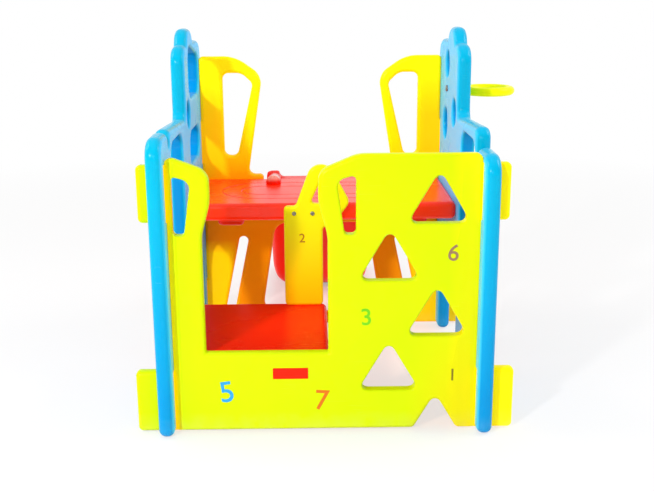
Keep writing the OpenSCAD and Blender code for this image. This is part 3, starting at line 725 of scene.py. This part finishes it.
# %% Draw the right side panel with its bolt hole
along_bolt, bolt_hole, overrun = (0, -90, 0), 8.8, 5
right_holes = [window, front_round, round_corners(770, 940, 42), round_corners(796, 746, 51)]
right_panel = side_panel("blue_right_side", 766, right_holes, panel_slots + [deck_slot])
stand(right_panel, standing_along, (frame_w / 2, 0, 0))
drill(right_panel, (inner_x - overrun, hoop_y, bolt_z), along_bolt, bolt_hole, side_t + 2 * overrun)
dress(right_panel, "right_side_panel", right_blue)

# %% [markdown]
# ## Front panel
#
# The yellow front is one moulding: the gateway with a hand opening on each side, and the climbing
# part with triangular footholds. The lowest foothold is open to the floor, so it is part of the
# outline. Towards the side panels the face slopes back a little. That is a thin wedge, cut off
# last, because rounding a rim along a sloped face would fold the small corners over.

# %% Draw the front panel
low_tab, low_reach = 177, outer_x + 61
up_tab, up_tab_top, up_reach = 590, 742, outer_x + 32
lift, front_h, edge_r, tab_r = 3, 767, 11.9, 12.9
gate_x = 254 - end_x
gate_half, neck_half = 165, 141
sill_z, bend_z, neck_z, brow_z = 228, 552, 640, 724
wall_x = gate_x + gate_half
wall_w = end_x - wall_x
hold_w, hold_h, hold_pitch, hold_top, hold_r = 0.415 * wall_w, 142, 155.5, 583, 18
hold_x = [wall_x + 0.726 * wall_w, wall_x + 0.407 * wall_w]


def tab_corners(top, top_r=tab_r):
    return [(low_reach, lift, tab_r), (low_reach, low_tab, tab_r), (end_x, low_tab, 3), (end_x, up_tab, 3),
            (up_reach, up_tab, tab_r), (up_reach, up_tab_top, tab_r), (end_x, up_tab_top, 3),
            (end_x, top, top_r)]


def hold_corners(i):
    x, z = hold_x[i % 2], hold_top - hold_pitch * i
    return [(x - hold_w / 2, z, hold_r), (x + hold_w / 2, z, hold_r), (x, z + hold_h, hold_r)]


neck_x = gate_x + neck_half
gate_right = [(neck_x + 103, front_h, 80), (neck_x, brow_z, 40), (neck_x, neck_z, 120),
              (wall_x, bend_z, 120), (wall_x, sill_z, 3)]
gate_left = mirrored(gate_right, gate_x)
notch_z = hold_top - 4 * hold_pitch
notch = hold_w / 2 * (notch_z + hold_h - lift) / hold_h
foot_notch = [(hold_x[0] - notch, lift, 14), (hold_x[0], notch_z + hold_h, hold_r),
              (hold_x[0] + notch, lift, 14)]
front_side = tab_corners(front_h, 19)
front_corners = front_side + gate_right + gate_left[:-1] + mirrored(front_side, 0) + foot_notch
grip = [(gate_x + 210, 555, 12), (gate_x + 240, 555, 12), (gate_x + 240, 713, 12), (gate_x + 189, 698, 24)]


def margin_wedge(width, side):
    """The wedge that the front face loses between a fold and the side panel."""
    depth, beyond = 11, 30
    slope = atan(depth / width)
    wedge = block("cutter", (0, -beyond, 0), (width / cos(slope), front_h + beyond, panel_t))
    wedge.rotation_euler = (0, slope, 0)
    wedge.location = ((end_x - width) * MM, 0, panel_t / 2 * MM)
    take(wedge)
    settle()
    if side < 0:
        bpy.ops.object.mode_set(mode="EDIT")
        bpy.ops.mesh.select_all(action="SELECT")
        bpy.ops.transform.resize(value=(-1, 1, 1), center_override=(0, 0, 0))
        face_outwards()
        bpy.ops.object.mode_set(mode="OBJECT")
    return wedge


front = plate("yellow_front", front_corners, panel_t)
soften(front, edge_r)
for hole in [grip, mirrored(grip, gate_x)]:
    pierce(front, hole, panel_t, 7)
for i in range(4):
    pierce(front, hold_corners(i), panel_t, 7)
carve(front, margin_wedge(54, 1))
carve(front, margin_wedge(24, -1))
tab_left, tab_right = -142, -47
carve(front, block("cutter", (tab_left - gap, step_low - gap, -panel_t),
                   (tab_right + gap, step_low + tab_t + gap, panel_t)))
stand(front, standing_across, (0, front_y + panel_t / 2, 0))
dress(front, "front_panel", lemon)

# %% [markdown]
# ## Rear panel
#
# The rear panel carries the slide between two tall grab handles. Below is a crawl opening with a
# tilted slit on each side. Each handle's opening is a rounded five-cornered hole.

# %% Draw the rear panel
rear_h, handle_h, seat_half, seat_z = 553, 957, 200, 520
handle = [(290, handle_h, 110), (198, 892, 55), (252, rear_h, 22), (seat_half, rear_h, tab_r),
          (seat_half, seat_z, 8)]
rear_side = tab_corners(handle_h) + handle
opening = [(332.6, 620, 20.5), (332.6, 901, 20.5), (268, 901, 40), (231, 866, 20.5), (288, 620, 20.5)]
crawl = [(-214, 45, 45), (214, 45, 45), (161, 378, 45), (-161, 378, 45)]


def slit_corners(x0, z0, x1, z1, w):
    along = Vector((x1 - x0, z1 - z0)).normalized() * w / 2
    over = Vector((-along.y, along.x))
    low, high = Vector((x0, z0)) - along, Vector((x1, z1)) + along
    return [(p.x, p.y, w / 2 - 0.2) for p in (low - over, high - over, high + over, low + over)]


slit = slit_corners(328, 66, 276, 314, 32)
rear = plate("yellow_rear", rear_side + mirrored(rear_side, 0), panel_t)
soften(rear, edge_r)
for hole in (crawl, opening, mirrored(opening, 0), slit, mirrored(slit, 0)):
    pierce(rear, hole, panel_t, edge_r)
stand(rear, standing_across, (0, rear_y + panel_t / 2, 0))
dress(rear, "rear_panel", golden)

# %% [markdown]
# ## Deck
#
# The deck is one thick slab with soft edges, two half-round ribs below that stiffen it, and a tab on
# each side that reaches through the side panel. Two long oval grooves on the top give the feet a
# hold. A groove is cut with a round rope: an oval outline is turned into a curve, gets a bevel depth
# and becomes a mesh again.

# %% Shape the deck
deck_t, deck_mid_y = 54, (deck_y + deck_back) / 2
rib_x, rib_half, rib_in, rib_drop = 283, 41, 10, 18
groove_r, screw_hole, screw_head, screw_lead = 3.6, 5.8, 13, 4
post_screws_x, post_screw_z = (-87, -31), 516
slide_screws_x, slide_screw_y, ear_seat_z = (-162, 162), 868, 549

deck = soft_block("red_deck", (-end_x, deck_y, deck_z - deck_t), (end_x, deck_back, deck_z), 16, 6)
for x in (-rib_x, rib_x):
    carve(deck, soft_block("rib", (x - rib_half, deck_y + rib_in, deck_z - deck_t - rib_drop),
                           (x + rib_half, deck_back - rib_in, deck_z - deck_t + rib_drop), 15), "UNION")
y, z, d, h = deck_slot
carve(deck, soft_block("tab", (-outer_x - tab_out, y, z), (outer_x + tab_out, y + d, z + h), 2, 2), "UNION")
for half, reach in ((127.5, 322.5), (65.5, 260.5)):
    rope = outline("rope", box_corners(-reach, deck_mid_y - half, 2 * reach, 2 * half, half - 0.5), 5)
    move_all(0, 0, deck_z + 1)
    bpy.ops.mesh.delete(type="ONLY_FACE")
    bpy.ops.object.mode_set(mode="OBJECT")
    bpy.ops.object.convert(target="CURVE")
    rope.data.bevel_depth, rope.data.bevel_resolution = groove_r * MM, 3
    bpy.ops.object.convert(target="MESH")
    carve(deck, bpy.context.object)
stand(deck)
for x in post_screws_x:
    drill(deck, (x, deck_y - screw_lead, post_screw_z), standing_across, screw_hole, 26)
for x in slide_screws_x:
    drill(deck, (x, slide_screw_y, deck_z + screw_lead), (0, 0, 0), screw_hole, 32)
dress(deck, "deck", deck_red)

# %% [markdown]
# ## Step
#
# Behind the gateway lies a broad block to step on. Its front tab shows as a small red field in the
# slot of the front panel, and its left tab reaches through the side panel.

# %% Shape the step
step_front, step_right = 77.4, 10
step_corners = box_corners(-end_x, step_front, end_x + step_right, deck_y - step_front, foot_r)
step = plate("red_step", step_corners, step_t)
soften(step, 13.6, 5)
take(step, "EDIT")
move_all(0, 0, step_z - step_t / 2)
bpy.ops.object.mode_set(mode="OBJECT")
tab_in, tab_edge = 42, 1.5
carve(step, soft_block("tab", (tab_left, front_y - tab_out, step_low),
                       (tab_right, front_y + panel_t + tab_in, step_low + tab_t), tab_edge, 2), "UNION")
y, z, d, h = step_slot
carve(step, soft_block("tab", (-outer_x - tab_out, y, z),
                       (-inner_x + tab_in, y + d, z + h), tab_edge, 2), "UNION")
stand(step)
upwards = (180, 0, 0)
for x in post_screws_x:
    drill(step, (x, post_mid_y, step_low - overrun), upwards, screw_hole, step_t + 2 * overrun)
dress(step, "step", step_red)

# %% [markdown]
# ## Centre post
#
# The post is a plate that stands on the step and leans on the deck's front edge. It widens at the
# top into a loop for a small hand.

# %% Shape the centre post
post_edge = 9
post_low, loop_top = step_z + gap, 664
post_corners = [(-118, post_low, 12), (0, post_low, 12), (0, 468, 12), (46, 498, 24), (84, 548, 24),
                (22, loop_top, 40), (-34, loop_top, 40), (-82, 537, 12), (-118, 537, 12)]
post = plate("yellow_post", post_corners, post_t, fine=7.5)
soften(post, post_edge)
pierce(post, [(-38, 545, 11), (42, 545, 11), (2, 632, 11)], post_t, post_edge)
stand(post, standing_across, (0, post_y + post_t / 2, 0))
for x in post_screws_x:
    drill(post, (x, post_y - screw_lead, post_screw_z), standing_across, screw_hole, post_t + 2 * overrun)
    drill(post, (x, post_mid_y, step_z - 7), upwards, screw_hole, 30)
dress(post, "centre_post", post_yellow)

# %% [markdown]
# ## Slide
#
# The slide is a trough that leaves the rear panel level, bends down and runs out level again. Its
# cross-section is drawn once, stood up and extruded straight, ring by ring, well away from its
# place. Then each ring gets its own rail height, is tilted and moved onto the path. That keeps all
# rings alike and the bends even. The last two rings shrink a little, which rounds the foot.

# %% Lay out the path of the slide
slide_start, slide_end, bed_top, bed_low = 951.4, 1681.4, 534, 94
bend_y, foot_y, head_r, run_out_r = 1026.4, 1391.4, 130, 170
slope = atan2(bed_top - bed_low, foot_y - bend_y)
head_reach, foot_reach = head_r * tan(slope / 2), run_out_r * tan(slope / 2)


def bend(y, z, r, first, last, steps=9):
    """Places on an arc that starts at y, z and turns from one heading to another."""
    side = 1 if last > first else -1
    turns = [first + (last - first) * i / steps for i in range(steps + 1)]
    return [(y + side * r * (sin(a) - sin(first)), z + side * r * (cos(a) - cos(first)), a) for a in turns]


path = [(slide_start, bed_top, 0)]
path += bend(bend_y - head_reach, bed_top, head_r, 0, slope)
path += bend(foot_y - foot_reach * cos(slope), bed_low + foot_reach * sin(slope), run_out_r, slope, 0)
path += [(slide_end - y, bed_low, 0) for y in (150, 112, 75, 38, 8, 3, 0)]
print("rings on the slide:", len(path), "slope in degrees:", round(degrees(slope), 1))


def rail_share(y):
    """The rail's height as a share of the full one: it rises behind the deck and sinks at the foot."""
    return min(1, 0.12 + 0.88 * (y - slide_start) / 200, 0.35 + 0.65 * (slide_end - y) / 150)


# %% Sweep the slide
section = [(190, 62, 20), (150, 62, 10), (140, 0, 30), (-140, 0, 30), (-150, 62, 10), (-190, 62, 20),
           (-190, -28, 40), (-168, -94, 60), (168, -94, 60), (190, -28, 40)]
slide = outline("red_slide", section)
first_ring, ring_pitch, ring_slack, foot_mid_z = -2.0, 0.03, 1e-4, 58
straight = [first_ring + ring_pitch * i for i in range(len(path))]
bpy.ops.mesh.select_all(action="SELECT")
bpy.ops.transform.rotate(value=-pi / 2, orient_axis="X", center_override=(0, 0, 0))
bpy.ops.transform.translate(value=(0, straight[0], 0))
for before, after in zip(straight, straight[1:]):
    bpy.ops.mesh.extrude_region_move(TRANSFORM_OT_translate={"value": (0, after - before, 0)})
for (y, z, heading), here in zip(path, straight):
    pick(slide, "VERT", lambda p: abs(p.co.y - here) < ring_slack and p.co.z > touching)
    bpy.ops.transform.resize(value=(1, 1, rail_share(y)), center_override=(0, here, 0))
    pick(slide, "VERT", lambda p: abs(p.co.y - here) < ring_slack)
    bpy.ops.transform.rotate(value=heading, orient_axis="X", center_override=(0, here, 0))
    bpy.ops.transform.translate(value=(0, y * MM - here, z * MM))
for y, share in ((slide_end - 3, 0.95), (slide_end, 0.87)):
    pick(slide, "VERT", lambda p: abs(p.co.y - y * MM) < ring_slack)
    bpy.ops.transform.resize(value=(0.7 + 0.3 * share, 1, share), center_override=(0, 0, foot_mid_z * MM))
face_outwards()
bpy.ops.object.mode_set(mode="OBJECT")
print("slide points:", len(slide.data.vertices))

# %% [markdown]
# The head of the slide lies on the rear panel's seat, and its two rails end in round ears that lie
# on the deck, where a screw holds each. An ear is a ball whose rear half is pulled back. Its cuts stay
# a hair off the faces of the head and the trough: faces that share a plane can spoil a union.

# %% Add the head and the ears of the slide
ear_r, ear_y, ear_z, ear_reach, ear_drop, hair = 25, 814, 544, 212.4, 28, 0.07
head_half, head_back = 150, 989
carve(slide, soft_block("head", (-head_half, rear_y, seat_z + gap), (head_half, head_back, bed_top), 3, 2),
      "UNION")
for x in slide_screws_x:
    let_go()
    bpy.ops.mesh.primitive_uv_sphere_add(segments=32, ring_count=16, radius=ear_r * MM,
                                         location=(x * MM, ear_y * MM, ear_z * MM))
    ear = bpy.context.object
    settle()
    bpy.ops.object.mode_set(mode="EDIT")
    pick(ear, "VERT", lambda p: p.co.y > ear_y * MM + touching)
    bpy.ops.transform.translate(value=(0, ear_reach * MM, -ear_drop * MM))
    bpy.ops.object.mode_set(mode="OBJECT")
    for back, top in ((rear_y + hair, deck_z + gap), (slide_start + hair, seat_z + gap + hair)):
        carve(ear, block("cutter", (x - 60, 700, 400), (x + 60, back, top)))
    carve(slide, ear, "UNION")
stand(slide)
for x in slide_screws_x:
    drill(slide, (x, slide_screw_y, ear_seat_z + 40), (0, 0, 0), screw_head + 0.8, 40)
    drill(slide, (x, slide_screw_y, ear_seat_z + overrun), (0, 0, 0), screw_hole, 20)
dress(slide, "slide", slide_red, 40)

# %% [markdown]
# ## Ball hoop
#
# A round bar bent to a ring, on a short arm that is bolted to the right side panel. The arm is a
# small plate, hollowed where the ring meets it, with a pocket for the nut.

# %% Shape the ball hoop
ring_x, ring_r, bar = 543, 70, 28
arm_w, arm_h, arm_t = 54, 46, 34
nut_w, nut_t = 13, 7
nut_span = nut_w / cos(pi / 6)
let_go()
bpy.ops.mesh.primitive_torus_add(major_radius=ring_r * MM, minor_radius=bar / 2 * MM, major_segments=72,
                                 minor_segments=24, location=(0, 0, 0))
hoop = bpy.context.object
hoop.name = "yellow_hoop"
stand(hoop, (0, 0, 0), (ring_x, hoop_y, hoop_z))
arm = plate("arm", box_corners(-arm_w / 2, -arm_h / 2, arm_w, arm_h, 8), arm_t)
soften(arm, 3, 3, lambda edge: is_rim(edge) and all(p.co.z > 0 for p in edge.verts))
stand(arm, standing_along, (outer_x + gap + arm_t / 2, hoop_y, bolt_z))
drill(arm, (ring_x, hoop_y, hoop_z + 60), (0, 0, 0), 2 * ring_r, 120, 72)
carve(hoop, arm, "UNION")
bolt_end = (outer_x - overrun, hoop_y, bolt_z)
drill(hoop, bolt_end, along_bolt, bolt_hole, 14)
drill(hoop, bolt_end, along_bolt, nut_span + 2 * gap, overrun + nut_t + 3 * gap, 6)
dress(hoop, "hoop", hoop_yellow)

# %% [markdown]
# ## Screws, bolt and nut
#
# A fastener starts as a flat cylinder for the head. Its upper rim is bevelled, and its lower face is
# inset to the shank's width, extruded to the shank's length and ended with a short point. The drive
# is cut out last: a cross for the screws and a six-sided socket for the bolt. A pair of screws is
# modelled once, copied and joined.

# %% Shape the fasteners
def six_corners(reach, r):
    return [(reach * cos(a), reach * sin(a), r) for a in [pi / 3 * i for i in range(6)]]


def fastener(name, head_d, head_t, shank_d, length, drive):
    """A head that sits on z = 0 with its shank below, in millimetres."""
    let_go()
    bpy.ops.mesh.primitive_cylinder_add(vertices=40, radius=head_d / 2 * MM, depth=head_t * MM,
                                        location=(0, 0, head_t / 2 * MM))
    piece = bpy.context.object
    piece.name = name
    settle()
    bpy.ops.object.mode_set(mode="EDIT")
    pick(piece, "FACE", lambda f: f.normal.z < -0.9)
    bpy.ops.mesh.inset(thickness=(head_d - shank_d) / 2 * MM)
    bpy.ops.mesh.extrude_region_move(TRANSFORM_OT_translate={"value": (0, 0, -(length - shank_d) * MM)})
    bpy.ops.mesh.extrude_region_move(TRANSFORM_OT_translate={"value": (0, 0, -shank_d * MM)})
    bpy.ops.transform.resize(value=(0.4, 0.4, 1), center_override=(0, 0, -length * MM))
    soften(piece, 0.55 * head_t, 4, lambda e: all(p.co.z > (head_t - 0.01) * MM for p in e.verts))
    if drive == "cross":
        for w, d in ((0.5, 0.12), (0.12, 0.5)):
            carve(piece, block("cutter", (-w * head_d / 2, -d * head_d / 2, 0.35 * head_t),
                               (w * head_d / 2, d * head_d / 2, 2 * head_t)))
    else:
        socket = plate("cutter", six_corners(4.6, 0.2), 2 * head_t)
        socket.location.z = 1.4 * head_t * MM
        carve(piece, socket)
    return piece


def pair(piece, across, y, z, turn):
    """Copies a fastener, stands both side by side and joins them into one piece."""
    take(piece)
    bpy.ops.object.duplicate(linked=False)
    other = bpy.context.object
    for one, x in zip((piece, other), across):
        stand(one, turn, (x, y, z))
    take(piece)
    other.select_set(True)
    bpy.ops.object.join()
    return piece


def screw(name, length):
    return fastener(name, screw_head, 4, 5, length, "cross")


post_screws = pair(screw("post_screw_pair", 49), post_screws_x, post_y, post_screw_z, standing_across)
dress(post_screws, "post_screws", steel)
foot_screws = pair(screw("foot_screw_pair", 87), post_screws_x, post_mid_y, step_low, upwards)
dress(foot_screws, "post_foot_screws", steel)
slide_screws = pair(screw("slide_screw_pair", 35), slide_screws_x, slide_screw_y, ear_seat_z, (0, 0, 0))
dress(slide_screws, "slide_screws", steel)

# %% Shape the hoop's bolt and nut
bolt = fastener("bolt_of_hoop", 20, 6, 8, 49.8, "socket")
stand(bolt, along_bolt, (inner_x, hoop_y, bolt_z))
dress(bolt, "hoop_bolt", steel)

nut = plate("nut_of_hoop", six_corners(nut_span / 2, 1.2), nut_t)
soften(nut, 0.6, 2)
stand(nut, along_bolt, (outer_x + 2 * gap + nut_t / 2, hoop_y, bolt_z))
drill(nut, bolt_end, along_bolt, bolt_hole - gap, 20)
dress(nut, "hoop_nut", steel)

# %% [markdown]
# ## Plain numbers on the front and the post
#
# Printed marks in loose places make the gym a counting game. Text is made a mesh first, then brought
# to its height, tilted a little and sunk into the face by half its thickness.

# %% Print the numbers
def number(digit, height, place, tilt, material):
    let_go()
    bpy.ops.object.text_add()
    mark = bpy.context.object
    mark.data.body = digit
    mark.data.extrude, mark.data.offset = 0.005, 0.008
    bpy.ops.object.convert(target="MESH")
    mark = bpy.context.object
    mark.name = "number_" + digit
    bpy.ops.object.origin_set(type="ORIGIN_GEOMETRY", center="BOUNDS")
    share = height * MM / mark.dimensions.y
    mark.scale = (share, share, share)
    stand(mark, (90, tilt, 0), place)
    dress(mark, None, material, 20)


number("5", 60, (-269, front_y, 118), -8, ink("light_blue_ink", "32A8EC", "2A9CE0"))
number("7", 58, (-8.4, front_y, 91), 4, ink("orange_ink", "E4761A", "D86C12"))
number("3", 47, (110, front_y, 329), -4, ink("green_ink", "74D21A", "68C812"))
number("6", 46, (340, front_y, 505), 8, ink("mauve_ink", "A07C5C", "947254"))
number("1", 34, (345, front_y, 161), 0, ink("olive_ink", "8A7A1C", "7E7018"))
number("2", 28, (-63, post_y, 439), 0, ink("brown_ink", "C07E0A", "B47408"))

# %% [markdown]
# ## Floor, light and white room
#
# The picture is high-key: a white room and a white floor. A small bright lamp stands in front on the
# left, so its light falls through the openings and draws clear patches on what is behind them. Big
# lamps in front and on both sides fill the shadows. The world is white where the camera sees it.
# Reflections see it bright behind and above the gym and darker in front, as in a studio with a white
# sweep, so broad faces that look at the camera keep their full colour and faces seen at a flat angle
# turn pale. The floor is white too and keeps the gym's soft shadow. Inside the gym it has a warm tint,
# because the light there has passed through coloured walls. With distance it melts into the room.

# %% Lay the floor
let_go()
bpy.ops.mesh.primitive_plane_add(size=80, location=(0, 0, 0))
floor = bpy.context.object
floor.name = "floor"
white, skin, start = new_finish("white_floor")
floor.data.materials.append(white)
skin["Roughness"].default_value = 0.5
skin["Specular IOR Level"].default_value = 0.2
glow = start.node("ShaderNodeEmission", (), {"Color": (1, 1, 1, 1), "Strength": 1.0})
rays = start.node("ShaderNodeLightPath").socket.node.outputs


def seen_by(start, rays):
    """1 for rays of the camera, of reflections and through glass."""
    through = start.sum_of("MAXIMUM", Shade(start.graph, rays["Is Glossy Ray"]),
                           Shade(start.graph, rays["Is Transmission Ray"]))
    return start.sum_of("MAXIMUM", Shade(start.graph, rays["Is Camera Ray"]), through)


place = start.node("ShaderNodeTexCoord", output="Object")
far = start.node("ShaderNodeVectorMath", {"operation": "LENGTH"}, {0: place}, "Value").between(1.0, 4.0)
floor_x, floor_y = place.along()[:2]
inside = abs(floor_x - gym_x).between(0.45, 0.38) * abs(floor_y + 0.36).between(0.47, 0.4)
below_slide = abs(floor_x - gym_x).between(0.24, 0.18) * abs(floor_y - 0.45).between(0.4, 0.34)
# Painted light: the floor under the gym is painted a warm tint in place of the light passed through its
# coloured walls.
inside.blend(shown("F6F4F4"), shown("FFD4B0")).feed(skin["Base Color"])
lit = Shade(white.node_tree, white.node_tree.nodes["Principled BSDF"].outputs[0])
mixed = start.node("ShaderNodeMixShader", (), {
    0: seen_by(start, rays) * (0.66 + 0.34 * far - 0.02 * inside - 0.3 * below_slide), 1: lit, 2: glow})
mixed.feed(white.node_tree.nodes["Material Output"].inputs["Surface"])
print("floor laid, size", floor.dimensions.x)

# %% Light the room
world = bpy.data.worlds.new("white_room")
bpy.context.scene.world = world
world.use_nodes = True
start = Shade(world.node_tree)
rays = start.node("ShaderNodeLightPath").socket.node.outputs
direction = start.node("ShaderNodeTexCoord", output="Generated").along()
mirror = Shade(world.node_tree, rays["Is Glossy Ray"])
behind, overhead = direction[Y].between(-0.15, 0.35), direction[Z].between(0.75, 0.95)
sweep = 0.12 + 0.88 * start.sum_of("MAXIMUM", behind, overhead)
background = world.node_tree.nodes["Background"].inputs
background["Color"].default_value = (1, 1, 1, 1)
strength = 0.54 + 0.46 * seen_by(start, rays)
(strength * (1 - mirror) + sweep * mirror).feed(background["Strength"])


def soft_box(name, place, target, size, power):
    """A square lamp that looks at a point. A big one casts soft shadows, a small one clear ones."""
    let_go()
    bpy.ops.object.light_add(type="AREA", location=place)
    lamp = bpy.context.object
    lamp.name = name
    lamp.data.size = size
    lamp.data.energy = power
    lamp.rotation_euler = (Vector(target) - Vector(place)).to_track_quat("-Z", "Y").to_euler()
    return lamp


soft_box("key", (-1.94, -3.7, 2.17), (0, -0.4, 0.45), 0.25, 90)
soft_box("front_fill", (-0.3, -6.2, 2.7), (0, -0.2, 0.5), 1.6, 22)
soft_box("right_fill", (3.4, -0.4, 3.2), (0, -0.2, 0.6), 2.0, 78)
soft_box("left_fill", (-3.4, -0.2, 3.2), (0, -0.2, 0.6), 2.0, 58)
bpy.context.scene.view_settings.view_transform = "Standard"
